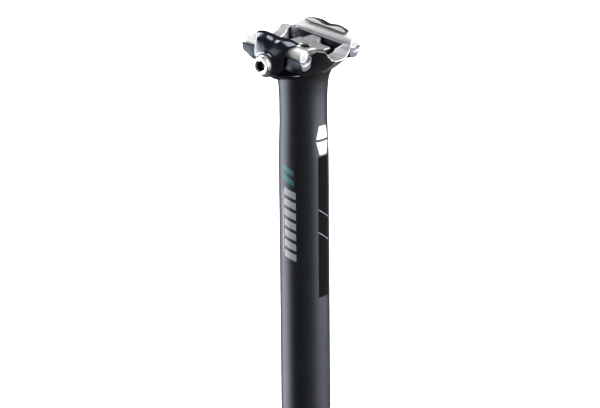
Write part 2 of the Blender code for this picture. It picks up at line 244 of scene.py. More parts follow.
def surface_net(field, low, high, step):
    """(points, quads) of the field's zero surface: one point in each grid cell that the surface crosses."""
    axes = [np.arange(a, b + step, step) for a, b in zip(low, high)]
    shape = tuple(len(a) for a in axes)
    gx, gy, gz = np.meshgrid(*axes, indexing="ij")
    value = field(gx, gy, gz)
    inside = value < 0.0
    total, count = np.zeros((value.size, 3)), np.zeros(value.size)
    edges = []
    for axis in range(3):
        head = tuple(slice(1, None) if i == axis else slice(None) for i in range(3))
        tail = tuple(slice(None, -1) if i == axis else slice(None) for i in range(3))
        cell = np.stack(np.nonzero(inside[tail] != inside[head]), 1)
        step_on = np.eye(3, dtype=int)[axis]
        start, end = value[tuple(cell.T)], value[tuple((cell + step_on).T)]
        point = cell + (start / (start - end))[:, None] * step_on
        p, q = [i for i in range(3) if i != axis]
        ring = []
        for dp, dq in ((1, 1), (0, 1), (0, 0), (1, 0)):
            neighbour = cell.copy()
            neighbour[:, p] -= dp
            neighbour[:, q] -= dq
            flat = np.ravel_multi_index(tuple(neighbour.T), shape)
            ring.append(flat)
            count += np.bincount(flat, minlength=value.size)
            for i in range(3):
                total[:, i] += np.bincount(flat, weights=point[:, i], minlength=value.size)
        quad = np.stack(ring, 1)
        backward = (start < 0.0) == (axis == 1)
        quad[backward] = quad[backward][:, ::-1]
        edges.append(quad)
    used = np.nonzero(count)[0]
    number = np.full(value.size, -1)
    number[used] = np.arange(len(used))
    points = np.array(low, float) + total[used] / count[used][:, None] * step
    return points, number[np.concatenate(edges)]


def settle(points, quads, field, step):
    """Evens the net out, then moves every point onto the surface itself."""
    pairs = np.concatenate([quads[:, [i, (i + 1) % 4]] for i in range(4)])
    pairs = np.concatenate([pairs, pairs[:, ::-1]])
    degree = np.bincount(pairs[:, 0], minlength=len(points))[:, None]

    def onto():
        p, h = points, 0.04
        value = field(*p.T)
        slope = np.stack([
            (field(*(p + h * axis).T) - field(*(p - h * axis).T)) / (2 * h) for axis in np.eye(3)
        ], 1)
        move = -value[:, None] * slope / np.maximum((slope**2).sum(1), 0.05)[:, None]
        length = np.linalg.norm(move, axis=1)[:, None]
        return p + move * np.minimum(1.0, 0.4 * step / np.maximum(length, 1e-9))

    for _ in range(3):
        mean = np.stack([
            np.bincount(pairs[:, 0], weights=points[pairs[:, 1], i], minlength=len(points)) for i in range(3)
        ], 1) / degree
        points = points + 0.5 * (mean - points)
        points = onto()
    return onto()


def to_object(name, points, faces, place, material, smooth=True):
    """An object from points in millimetres and a list of faces, put in place by a matrix in metres."""
    placed = np.array(points, float) * MM
    turn = np.array(place, float)
    placed = placed @ turn[:3, :3].T + turn[:3, 3]
    faces = [list(map(int, f)) for f in faces]
    if np.linalg.det(turn[:3, :3]) < 0:
        faces = [f[::-1] for f in faces]
    mesh = bpy.data.meshes.new(name)
    mesh.from_pydata(placed.tolist(), [], faces)
    mesh.validate()
    mesh.materials.append(material)
    if smooth:
        mesh.shade_smooth()
    obj = bpy.data.objects.new(name, mesh)
    bpy.context.scene.collection.objects.link(obj)
    return obj


def keep_values(obj, key, values):
    """Keeps a number for each of a mesh's points, for its material to read."""
    layer = obj.data.attributes.new(key, "FLOAT", "POINT")
    layer.data.foreach_set("value", values.astype(np.float32))


def carved(name, field, low, high, step, place, material, mask=None):
    """A piece from a distance field. mask is a key and a further field kept on the mesh under it."""
    points, quads = surface_net(field, low, high, step)
    points = settle(points, quads, field, step)
    obj = to_object(name, points, quads, place, material)
    if mask:
        keep_values(obj, mask[0], mask[1](*points.T))
    return obj


def swept(name, rings, place, material, caps=True, cyclic=False):
    """Joins rings of equally many points. Hard edges stay hard where rings turn by over 30 degrees."""
    count = len(rings[0])
    points = np.concatenate([np.array(r, float) for r in rings])
    faces = []
    pairs = list(range(len(rings) - 1)) + ([len(rings) - 1] if cyclic else [])
    for row in pairs:
        a, b = row * count, (row + 1) % len(rings) * count
        faces += [[a + i, a + (i + 1) % count, b + (i + 1) % count, b + i] for i in range(count)]
    if caps:
        faces += [list(range(count))[::-1], [len(points) - count + i for i in range(count)]]
    obj = to_object(name, points, faces, place, material, smooth=False)
    bm = bmesh.new()
    bm.from_mesh(obj.data)
    bmesh.ops.recalc_face_normals(bm, faces=bm.faces)
    for edge in bm.edges:
        if len(edge.link_faces) == 2 and edge.calc_face_angle(0.0) > math.radians(30):
            edge.smooth = False
    for face in bm.faces:
        face.smooth = len(face.verts) <= 4
    bm.to_mesh(obj.data)
    bm.free()
    return obj


def circle(radius, along, axis, centre=(0.0, 0.0), count=96, reach=None):
    """A ring of points round an axis. reach, if given, is a radius for each angle."""
    ring = []
    for k in range(count):
        angle = 2 * math.pi * k / count
        r = reach(angle) if reach else radius
        a, b = centre[0] + r * math.cos(angle), centre[1] + r * math.sin(angle)
        ring.append({"X": (along, a, b), "Y": (a, along, b), "Z": (a, b, along)}[axis])
    return ring


# ---------------------------------------------------------------- materials


COOL = (0.72, 0.85, 1.0)  # the tint of reflections in the black finishes


def map_range(tree, value, low, high, to_low, to_high, smooth=False):
    """A number carried from one range to another and held at the ends."""
    node = tree.nodes.new("ShaderNodeMapRange")
    node.interpolation_type = "SMOOTHSTEP" if smooth else "LINEAR"
    for key, number in (("From Min", low), ("From Max", high), ("To Min", to_low), ("To Max", to_high)):
        node.inputs[key].default_value = number
    tree.links.new(value, node.inputs["Value"])
    return node.outputs["Result"]


class Shader:
    """A Principled material under construction, with a few shorthands for its nodes."""

    def __init__(self, name, **inputs):
        self.material = bpy.data.materials.new(name)
        self.material.use_nodes = True
        self.tree = self.material.node_tree
        self.nodes, self.links = self.tree.nodes, self.tree.links
        self.principled = self.nodes["Principled BSDF"]
        self.coordinates = self.add("ShaderNodeTexCoord").outputs["Object"]
        for key, value in inputs.items():
            self.set(key.replace("_", " "), value)

    def add(self, kind, **settings):
        node = self.nodes.new(kind)
        for key, value in settings.items():
            setattr(node, key, value)
        return node

    def feed(self, target, value):
        """Gives a socket another node's output, a colour or a number."""
        if isinstance(value, bpy.types.NodeSocket):
            self.links.new(value, target)
        else:
            target.default_value = (*value, 1.0) if isinstance(value, tuple) else value

    def set(self, socket, value):
        self.feed(self.principled.inputs[socket], value)

    def noise(self, per_mm, detail=3.0, stretch=(1.0, 1.0, 1.0)):
        """Noise with features about 1 / per_mm millimetres wide; a small stretch draws them out that way."""
        scaling = self.add("ShaderNodeMapping")
        scaling.inputs["Scale"].default_value = tuple(s / MM for s in stretch)
        self.links.new(self.coordinates, scaling.inputs["Vector"])
        texture = self.add("ShaderNodeTexNoise")
        texture.inputs["Scale"].default_value = per_mm
        texture.inputs["Detail"].default_value = detail
        texture.inputs["Roughness"].default_value = 0.55
        self.links.new(scaling.outputs["Vector"], texture.inputs["Vector"])
        return texture.outputs["Fac"]

    def span(self, *ends, smooth=False):
        """map_range in this material: value, low, high, to_low, to_high."""
        return map_range(self.tree, *ends, smooth=smooth)

    def mix(self, factor, a, b):
        """A colour between a and b. The Mix node has sockets for every type, so these go by number."""
        node = self.add("ShaderNodeMix", data_type="RGBA")
        for key, value in ((0, factor), (6, a), (7, b)):
            self.feed(node.inputs[key], value)
        return node.outputs[2]

    def blend(self, factor, a, b):
        """A number between a and b."""
        node = self.add("ShaderNodeMix", data_type="FLOAT")
        for key, value in ((0, factor), (2, a), (3, b)):
            self.feed(node.inputs[key], value)
        return node.outputs[0]

    def mottled(self, pattern, low, high, start=0.3, end=0.7):
        """A colour that wanders between two with a pattern of noise."""
        return self.mix(self.span(pattern, start, end, 0.0, 1.0), low, high)

    def shade_in_corners(self, colour, reach_mm):
        """The colour with painted shade: it sinks to near black in deep corners, by ambient occlusion."""
        node = self.add("ShaderNodeAmbientOcclusion", samples=8)
        node.inputs["Distance"].default_value = reach_mm * MM
        lit = self.span(node.outputs["AO"], 0.28, 0.75, 0.0, 1.0, smooth=True)
        # the near-black colour of the painted shade
        return self.mix(lit, (0.02, 0.02, 0.022), colour)

    def attribute(self, name):
        return self.add("ShaderNodeAttribute", attribute_name=name).outputs["Fac"]

    def bump(self, height, strength, distance_mm):
        node = self.add("ShaderNodeBump")
        node.inputs["Strength"].default_value = strength
        node.inputs["Distance"].default_value = distance_mm * MM
        self.links.new(height, node.inputs["Height"])
        self.set("Normal", node.outputs["Normal"])


def carbon_coat():
    """Matt clear coat over black composite: an even, fine orange-peel and faint cloudy gloss."""
    s = Shader("matt_carbon_coat", Metallic=0.0, Specular_IOR_Level=0.62, Specular_Tint=COOL)
    s.set("Base Color", s.mottled(s.noise(0.09, 4.0), (0.0150, 0.0150, 0.0170), (0.0200, 0.0200, 0.0225)))
    s.set("Roughness", s.span(s.noise(0.5), 0.3, 0.7, 0.33, 0.38))
    s.bump(s.noise(7.0, 2.0), 0.10, 0.02)
    return s.material


def forged_black():
    """Textured black anodising on the outside walls, bare machined metal wherever the cutter has been."""
    s = Shader("forged_black_and_machined", Specular_IOR_Level=0.30)
    bare = s.span(s.attribute("wall_depth"), -0.20, -0.05, 1.0, 0.0, smooth=True)
    grain, fine = s.noise(1.6, 4.0), s.noise(6.0, 3.0)
    streak = s.noise(0.9, 3.0, stretch=(1.0, 0.12, 1.0))
    black = s.mottled(grain, (0.024, 0.024, 0.027), (0.046, 0.046, 0.051))
    # painted shade: the machined silver sinks to near black in its deep corners
    silver = s.shade_in_corners(s.mottled(streak, (0.54, 0.54, 0.56), (0.66, 0.66, 0.68)), 7.0)
    s.set("Base Color", s.mix(bare, black, silver))
    s.set("Metallic", s.blend(bare, 0.0, 0.92))
    rough_black, rough_bare = s.span(grain, 0.3, 0.7, 0.50, 0.62), s.span(streak, 0.3, 0.7, 0.36, 0.5)
    s.set("Roughness", s.blend(bare, rough_black, rough_bare))
    s.bump(s.blend(bare, fine, streak), 0.28, 0.05)
    return s.material


def blasted_silver():
    """Cast and blasted aluminium: soft grey with a sandy grain and darker stains."""
    s = Shader("blasted_silver", Metallic=0.85)
    grain, stain = s.noise(3.2, 5.0), s.noise(0.35, 4.0)
    base = s.mottled(stain, (0.24, 0.24, 0.25), (0.44, 0.44, 0.45), 0.35, 0.65)
    # painted shade: the cast grey sinks to near black in its deep corners and hollows
    s.set("Base Color", s.shade_in_corners(s.mix(s.span(grain, 0.45, 0.75, 0.0, 0.6), base, (0.62, 0.62, 0.62)), 9.0))
    s.set("Roughness", s.span(grain, 0.3, 0.7, 0.42, 0.58))
    s.bump(grain, 0.45, 0.09)
    return s.material


def blue_grey_satin():
    """Satin anodising, paler and more bare on the channel and the cut ends."""
    s = Shader("blue_grey_satin", Metallic=0.75)
    grain = s.noise(2.4, 4.0)
    pale_share = s.span(s.attribute("channel"), -0.1, 0.15, 1.0, 0.0, smooth=True)
    skin = s.mottled(grain, (0.026, 0.031, 0.042), (0.046, 0.053, 0.068))
    s.set("Base Color", s.mix(pale_share, skin, (0.30, 0.32, 0.36)))
    s.set("Roughness", s.span(grain, 0.3, 0.7, 0.30, 0.40))
    s.bump(grain, 0.16, 0.03)
    return s.material


def gloss_black():
    """Polished black anodising, almost a mirror, with a trace of polishing waviness and rubbed edges, and a
    pale metal band painted along the inner edge over the rail as the reflection of the lights there.
    """
    s = Shader("gloss_black", Metallic=0.0, Specular_IOR_Level=1.0, Specular_Tint=COOL)
    for key, value in (("Coat Roughness", 0.04), ("Coat IOR", 1.9), ("Coat Tint", COOL)):
        s.set(key, value)
    edge = s.add("ShaderNodeNewGeometry").outputs["Pointiness"]
    worn = s.span(edge, 0.56, 0.66, 0.0, 1.0, smooth=True)
    black = s.mix(worn, (0.0055, 0.0055, 0.0070), (0.045, 0.046, 0.052))
    # painted reflection: a pale metal band along the inner edge over the rail stands in for the lights
    # mirrored there
    pale_share = s.span(s.attribute("painted_reflection_band"), -0.02, 0.08, 1.0, 0.0, smooth=True)
    s.set("Base Color", s.mix(pale_share, black, (0.74, 0.73, 0.72)))
    s.set("Metallic", s.blend(pale_share, 0.0, 0.9))
    s.set("Coat Weight", s.blend(pale_share, 1.0, 0.0))
    s.set("Roughness", s.blend(pale_share, s.span(s.noise(0.7), 0.3, 0.7, 0.15, 0.20), 0.34))
    s.bump(s.noise(0.12, 2.0), 0.10, 0.06)
    return s.material


def drawn_rod():
    """Pale drawn aluminium with fine lines along its length."""
    s = Shader("drawn_aluminium", Metallic=0.1)
    line = s.noise(1.6, 3.0, stretch=(1.0, 0.05, 1.0))
    s.set("Base Color", s.mottled(line, (0.76, 0.76, 0.77), (0.85, 0.85, 0.85)))
    s.set("Roughness", s.span(line, 0.3, 0.7, 0.38, 0.48))
    s.bump(line, 0.08, 0.02)
    return s.material


def shaded_sawn_end():
    """The sawn end of a rod: duller, with faint marks of the blade, and painted greyer than the sides as
    shade on the end faces.
    """
    s = Shader("sawn_aluminium_shaded", Metallic=0.3)
    mark = s.noise(1.2, 3.0, stretch=(0.2, 1.0, 1.0))
    s.set("Base Color", s.mottled(mark, (0.42, 0.43, 0.43), (0.52, 0.53, 0.53)))
    s.set("Roughness", 0.5)
    s.bump(mark, 0.1, 0.02)
    return s.material


def plated_steel(name, base, low, high):
    """Bright turned steel with fine rings round its axis."""
    s = Shader(name, Metallic=1.0)
    ring, smear = s.noise(2.2, 3.0, stretch=(1.0, 0.25, 0.25)), s.noise(0.5, 3.0)
    s.set("Base Color", s.mottled(smear, base, tuple(min(1.0, c * 1.15) for c in base)))
    s.set("Roughness", s.span(smear, 0.3, 0.7, low, high))
    s.bump(ring, 0.08, 0.02)
    return s.material


def dark_socket_lining():
    """The dark, brownish inside of the bolt's socket."""
    s = Shader("dark_socket_lining", Metallic=0.9)
    s.set("Base Color", s.mottled(s.noise(1.5), (0.060, 0.050, 0.038), (0.17, 0.145, 0.11)))
    s.set("Roughness", s.span(s.noise(3.0), 0.3, 0.7, 0.35, 0.5))
    return s.material


def ink(name, low, high, roughness):
    """A printed layer: even colour with a slight speckle."""
    s = Shader(name, Metallic=0.0)
    s.set("Base Color", s.mottled(s.noise(2.5, 4.0), low, high))
    s.set("Roughness", s.span(s.noise(1.2), 0.3, 0.7, roughness - 0.03, roughness + 0.03))
    return s.material


CARBON, HEAD_BLACK, SILVER, SATIN = carbon_coat(), forged_black(), blasted_silver(), blue_grey_satin()
GLOSS, ROD, SAWN_SHADED = gloss_black(), drawn_rod(), shaded_sawn_end()
STEEL = plated_steel("bright_steel", (0.86, 0.86, 0.85), 0.30, 0.40)
WASHER = plated_steel("turned_steel", (0.60, 0.60, 0.60), 0.24, 0.34)
SOCKET = dark_socket_lining()
PALE_INK = ink("pale_ink", (0.46, 0.50, 0.53), (0.58, 0.61, 0.63), 0.42)
WHITE_INK = ink("white_ink", (0.74, 0.75, 0.76), (0.84, 0.84, 0.85), 0.40)
TEAL_INK = ink("teal_ink", (0.03, 0.18, 0.22), (0.05, 0.25, 0.29), 0.42)
LINE_INK = ink("line_ink", (0.20, 0.22, 0.26), (0.28, 0.30, 0.34), 0.30)
PANEL = ink("gloss_panel", (0.0045, 0.0050, 0.0065), (0.0060, 0.0065, 0.0080), 0.08)

# ---------------------------------------------------------------- shaft and head


def shaft_radius(z):
    heights = [p[1] for p in SHAFT_PROFILE]
    return float(np.interp(z, heights, [p[0] for p in SHAFT_PROFILE]))


def carbon_shaft():
    """The tube, swept upward; near the top each ring bends towards the mitre under the head."""
    profile = np.vstack([SHAFT_PROFILE[:2], smooth_profile(SHAFT_PROFILE[2:])])
    foot, top = profile[:, 1].min(), profile[:, 1].max()

    def mitre(y):
        return MITRE_RISE - math.sqrt(MITRE_R**2 - (y - SETBACK) ** 2)

    rings = []
    for radius, z in profile:
        ring = []
        for k in range(SHAFT_SIDES):
            angle = 2 * math.pi * k / SHAFT_SIDES
            c, s = math.cos(angle), math.sin(angle)
            height = z
            if z > BEND_FROM:
                share = (z - BEND_FROM) / (top - BEND_FROM)
                height = BEND_FROM + (mitre(radius * s) - BEND_FROM) * share
            r = float(np.interp(height, profile[:, 1], profile[:, 0]))
            ring.append((r * c, r * s, height))
        rings.append(ring)
    wall = [(0.97 * x, 0.97 * y, z - 0.15) for x, y, z in rings[-1]]
    bore_top = [
        (TUBE_BORE_R * x / math.hypot(x, y), TUBE_BORE_R * y / math.hypot(x, y), z - 0.2)
        for x, y, z in rings[-1]
    ]
    rings += [wall, bore_top]
    for radius, z in ((TUBE_BORE_R, foot + 0.4), (TUBE_BORE_R + 0.4, foot)):
        rings.append(circle(radius, z, "Z", count=SHAFT_SIDES))
    return swept("shaft_tube", rings, POST, CARBON, caps=False, cyclic=True)


ring_curve = [smooth_profile(HEAD_RINGS[:, [i, 0]])[:, ::-1] for i in range(1, 5)]
notch_outline = outline_field(both_sides(NOTCH))


def to_seat(y, z):
    """Post coordinates to the seat's: rearward and up."""
    c, s = math.cos(LEAN), math.sin(LEAN)
    y = y - SETBACK
    return c * y + s * z, -s * y + c * z


def head_wall(x, y, z):
    """The outside of the head, before anything is machined away."""
    half, front, rear, square = [np.interp(z, curve[:, 0], curve[:, 1]) for curve in ring_curve]
    reach = np.where(y < 0, front, rear)
    q = ((np.abs(x) / half) ** square + (np.abs(y) / reach) ** square) ** (1 / square)
    radius = np.hypot(x, y)
    return (q - 1.0) * radius / np.maximum(q, 0.2)


def head_field(x, y, z):
    tilt_r = np.hypot(y - SETBACK, z)
    wall = head_wall(x, y, z)
    # the cheeks narrow just below the seat, where the jaws hook under
    side = np.abs(x) - np.interp(tilt_r, [17.6, 18.9], [HEAD_HALF, 13.8])
    side = np.where(z < -9.0, side, np.abs(x) - HEAD_HALF)
    body = soft_max(wall, side, 0.5)
    body = soft_max(body, np.hypot(y - SETBACK, z - MITRE_RISE) - (MITRE_R - BOND_GAP), 0.25)
    rearward, up = to_seat(y, z)
    # the front rim is highest at its outer edge and falls towards the seat
    fall = 3.2 * np.clip((22.0 + rearward) / 4.6, 0.0, 1.5) ** 2
    top = np.where(rearward < 0, up - FRONT_RIM + fall * (up > -6.0), up - REAR_RIM)
    body = soft_max(body, top * 0.9, 0.45)
    body = carve(body, notch_outline(x, up), 0.6)
    body = carve(body, tilt_r - SEAT_R, 0.3)
    return np.maximum(body, HEAD_FOOT - z)


def forged_head():
    head = carved(
        "head_forging", head_field, (-16.5, -29.0, -21.0), (16.5, 26.5, 8.0), 0.30, POST, HEAD_BLACK,
        mask=("wall_depth", head_wall),
    )
    spigot = [(8.4, -78.0), (10.4, -78.0), (10.9, -77.4), (10.9, -17.9), (8.4, -18.4)]
    rings = [circle(r, z, "Z") for r, z in spigot]
    tube = swept("spigot", rings, POST, HEAD_BLACK, caps=False, cyclic=True)
    keep_values(tube, "wall_depth", np.full(len(tube.data.vertices), -1.0))
    return head, tube


# ---------------------------------------------------------------- clamp pieces

face_outline = outline_field(rounded(both_sides(FACE)))
skin_hull = hull_field([(u, s * v, w) for u, v, w in SKIN for s in (-1, 1)], 0.6)
cone_outline = outline_field([
    (-5.0, 4.0), (-5.0, 16.9), (17.35, 16.9), (17.35, 15.35), (17.75, 15.35), (18.25, 14.9),
    (26.0, 14.9), (26.0, 4.0),
])
pocket_outline = outline_field(
    [(16.0, 3.8), (16.0, -13.6), (26.0, -13.6), (26.7, -12.8), (26.7, -1.0), (25.6, 1.0), (22.0, 3.8)]
)
throat_outline = outline_field([
    (2.0, -13.6), (2.0, 14.0), (21.4, 14.0), (20.9, 7.2), (20.4, 6.1), (19.4, 3.9), (19.3, 3.6),
    (16.4, -13.6),
])
trough_end, trough_mid = outline_field(rounded(TROUGH_END)), outline_field(rounded(TROUGH_MID))
well_outline = outline_field(both_sides(WELL))


def outer_clamp_field(hole_r):
    """A jaw: a rounded shell with a boss for the bolt, hollowed for the head, the trough and the rail."""

    def field(u, v, w):
        from_bolt = np.hypot(v, w - BOLT_UP)
        body = soft_max(face_outline(v, w), skin_hull(u, v, w) - 0.45, 1.5)
        boss = np.maximum(soft_max(from_bolt - 6.6, u - BOSS_FACE, 0.7), 24.0 - u)
        body = soft_min(body, boss, 1.6)
        valley = capsule_field(u, v, w, (27.0, 0.0, 10.8), (33.5, 0.0, 3.0), 5.0, 3.0)
        body = carve(body, valley, 3.0)
        inside = np.minimum(cone_outline(np.hypot(v, w), u), pocket_outline(u, w))
        body = carve(body, np.minimum(inside, throat_outline(u, w)), 0.4)
        body = carve(body, np.hypot(u - GAUGE_HALF, w) - CHANNEL_R, 0.3)
        body = carve(body, soft_max(from_bolt - 6.0, BOSS_FACE - 0.6 - u, 0.2), 0.3)
        return carve(body, soft_max(from_bolt - hole_r, 20.0 - u, 0.2), 0.3)

    return field


def painted_reflection_mask(u, v, w):
    """Below zero on the band along the inner edge over the rail, where a pale metal finish is painted in as
    the reflection of the lights.
    """
    rim = np.maximum(face_outline(v, w) + 1.0, 4.6 - w)
    return np.maximum(rim, np.abs(throat_outline(u, w)) - 0.25)


def flare_radius(v):
    """The radius of a channel's widening mouths, by distance along the rail."""
    return np.interp(np.abs(v), [17.6, 21.5], [3.0, 5.2])


def trough_field(u, v, w):
    """The trough under a rail: deep in the middle, slimmer at its ends, with a toothed inner lip."""
    across = u - GAUGE_HALF
    share = np.clip((np.abs(v) - 13.0) / (TROUGH_HALF - 13.0), 0.0, 1.0)
    share = share * share * (3 - 2 * share)
    body = trough_mid(across, w) * (1 - share) + trough_end(across, w) * share
    body = soft_max(body, np.abs(v) - TROUGH_HALF, 0.7)
    lug = soft_max(np.hypot(v, w - BOLT_UP) - 4.6, np.abs(u - 21.5) - 4.75, 0.5)
    body = soft_min(body, lug, 0.8)
    teeth = 0.22 * (0.5 - 0.5 * np.cos(2 * np.pi * v / 1.2))
    lip = w + 0.4 + np.where(across < 0, teeth, 0.0)
    lip = np.where(across < 2.4, lip, w + 1.7)
    body = soft_max(body, lip, 0.3)
    body = carve(body, np.hypot(across, w) - CHANNEL_R, 0.25)
    body = carve(body, (np.hypot(across, w) - flare_radius(v)) * 0.87, 0.3)
    return carve(body, np.hypot(v, w - BOLT_UP) - BOLT_HOLE_R, 0.3)


def channel_mask(u, v, w):
    """Above zero away from the channel, the flared mouths and the lips, below zero on them."""
    across = np.hypot(u - GAUGE_HALF, w)
    bare = np.minimum(across - np.maximum(CHANNEL_R, flare_radius(v)) - 0.12, -0.95 - w)
    return np.minimum(bare, TROUGH_HALF - 0.2 - np.abs(v))


def cradle_field(x, v, w):
    """The cradle: a drum with a well, then its shelves, bridge, bolt sleeve, hollows, window and studs."""
    drum = soft_max(np.hypot(v, w) - CRADLE_R, np.abs(x) - 14.6, 0.5)
    top = np.where(v < 1.0, w - 1.9, w + 2.6)
    body = soft_max(drum, top, 0.5)
    body = carve(body, well_outline(v, w), 0.6)
    body = carve(body, box_field(x, v, w, (-11, -40, -6.4), (11, 40, 30)), 0.6)
    shelf = box_field(x, v, w, (-11.4, -9.8, -6.6), (11.4, 9.8, -4.2)) - 1.2
    body = soft_min(body, shelf, 0.8)
    body = soft_min(body, box_field(x, v, w, (-9.5, -6.0, -10.0), (9.5, 6.0, -6.0)) - 0.8, 1.5)
    body = soft_min(body, box_field(x, v, w, (-15.3, -4.6, -11.2), (15.3, 0.0, -2.2)) - 1.2, 4.5)
    body = soft_min(body, soft_max(np.hypot(v, w - BOLT_UP) - 5.6, np.abs(x) - 14.0, 0.4), 1.0)
    dip = np.interp(np.abs(x), [0.0, 7.5, 10.5, 13.5, 16.4], [-2.95, -2.95, -2.4, -1.4, -0.5])
    body = soft_max(body, np.where(v < -11.3, -9.0, w - dip), 0.5)
    body = carve(body, soft_max(np.hypot(x, v - 13.0) - 6.8, -8.5 - w, 0.3), 0.8)
    body = carve(body, soft_max(np.hypot(x - 1.7, v - 1.0) - 3.3, -9.0 - w, 0.3), 0.5)
    for side in (-1, 1):
        body = carve(body, soft_max(np.hypot(x - side * 10.4, v - 8.6) - 0.6, -5.4 - w, 0.2), 0.2)
    studs = 0.22 * np.cos(2.6 * (x + v)) * np.cos(2.6 * (x - v))
    studs = studs * np.clip(-v - 3.0, 0.0, 1.0) * (np.abs(x) < 10.5)
    body = body - studs * np.clip(1.0 - np.abs(w + 3.1), 0.0, 1.0)
    return carve(body, np.hypot(v, w - BOLT_UP) - BOLT_HOLE_R, 0.3)


def flank(side):
    """Maps (out, front, up) of one side to the world."""
    return SEAT @ Matrix.Diagonal((side, -1.0, 1.0, 1.0))


def clamps():
    made = {}
    for name, side, hole in (("right", -1, BOLT_HOLE_R), ("left", 1, NUT_R + 0.3)):
        made[f"{name}_outer_clamp"] = carved(
            f"{name}_jaw", outer_clamp_field(hole), (13.5, -17.5, -21.0), (33.0, 17.5, 9.0), 0.28,
            flank(side), GLOSS, mask=("painted_reflection_band", painted_reflection_mask),
        )
        made[f"{name}_lower_rail_clamp"] = carved(
            f"{name}_trough", trough_field, (15.8, -22.0, -14.5), (28.0, 22.0, 1.2), 0.27,
            flank(side), SATIN, mask=("channel", channel_mask),
        )
    made["rail_cradle"] = carved(
        "cradle_casting", cradle_field, (-18.0, -18.5, -18.5), (18.0, 18.5, 3.5), 0.33, flank(1), SILVER
    )
    return made


# ---------------------------------------------------------------- fasteners and rods

HEX_FLATS, SOCKET_DEEP, BOLT_HEAD_TALL = 5.0, 2.6, 2.0


def hexagon(angle):
    """The socket's outline, as a radius for each angle."""
    sector = (angle + math.pi / 6) % (math.pi / 3) - math.pi / 6
    return HEX_FLATS / 2 / math.cos(sector)


def fasteners():
    centre = (0.0, BOLT_UP)

    def ring(radius, along, reach=None):
        return circle(radius, along, "X", centre, reach=reach)

    face = -BOLT_HEAD_FACE
    seat = face + BOLT_HEAD_TALL
    shell = [
        (2.5, BOLT_END), (3.0, BOLT_END - 0.5), (3.0, seat + 0.2), (3.2, seat), (4.8, seat),
        (5.0, seat - 0.2), (5.0, face + 0.6), (4.93, face + 0.3), (4.7, face + 0.08), (4.4, face),
        (3.5, face), (3.25, face + 0.12),
    ]
    socket = [ring(0, face + depth, hexagon) for depth in (0.45, SOCKET_DEEP)]
    bolt = swept("cross_bolt", [ring(*p) for p in shell] + socket, SEAT, STEEL)
    bolt.data.materials.append(SOCKET)
    for polygon in bolt.data.polygons:
        inward = face + 0.5 < polygon.center.x / MM < face + 3.0
        off_axis = (SEAT.inverted() @ polygon.center) / MM
        if inward and math.hypot(off_axis.y, off_axis.z - BOLT_UP) < 2.95:
            polygon.material_index = 1
    back = -BOSS_FACE + 0.3
    washer = [
        (BOLT_HOLE_R, back), (5.5, back), (5.7, back - 0.2), (5.65, back - 0.5), (5.2, back - 0.95),
        (5.0, back - 1.0), (BOLT_HOLE_R + 0.3, back - 1.0), (BOLT_HOLE_R, back - 0.7),
    ]
    nut = [
        (BOLT_HOLE_R, 26.9), (NUT_R - 0.3, 26.9), (NUT_R, 27.2), (NUT_R, 30.7), (5.4, 30.7), (5.6, 30.9),
        (5.6, 31.9), (5.5, 32.3), (5.2, 32.6), (4.9, 32.7), (3.7, 32.7), (BOLT_HOLE_R, 32.3),
    ]
    made = {"clamp_bolt": bolt}
    for node, name, profile in (("bolt_washer", "washer_ring", washer), ("barrel_nut", "flanged_nut", nut)):
        made[node] = swept(name, [ring(*p) for p in profile], SEAT, WASHER, caps=False, cyclic=True)
    return made


SAWN_R = 2.3


def transport_rods():
    half_reach = (rod_high - rod_low).y / MM / 2
    half = (half_reach - ROD_R * math.sin(LEAN)) / math.cos(LEAN)  # half the rod's own length
    profile = [(0.6, 0.0), (2.2, 0.0), (2.35, 0.06), (2.8, 0.06), (3.1, 0.22), (3.38, 0.55), (ROD_R, 0.9)]
    made = {}
    for name, side in (("right", -1), ("left", 1)):
        stations = [(r, -half + d) for r, d in profile] + [(r, half - d) for r, d in reversed(profile)]
        rings = [circle(r, y, "Y", (side * GAUGE_HALF, 0.0)) for r, y in stations]
        rod = swept(f"{name}_transport_rod", rings, SEAT, ROD)
        # the end faces take the sawn material, painted greyer as shade on them
        rod.data.materials.append(SAWN_SHADED)
        for polygon in rod.data.polygons:
            x, _, z = SEAT.inverted() @ polygon.center / MM
            if math.hypot(x - side * GAUGE_HALF, z) < SAWN_R:
                polygon.material_index = 1
        made[f"{name}_shipping_rod"] = rod
    return made


# ---------------------------------------------------------------- print on the tube

def on_tube(angle, z, lift):
    """A point on the tube. Angles are in degrees from the front, towards the rider's right."""
    r, a = shaft_radius(z) + lift, math.radians(angle)
    return (-r * math.sin(a), -r * math.cos(a), z)


PATCH_DEGREES, PATCH_TALL = 1.5, 4.0  # the largest facet of a printed layer


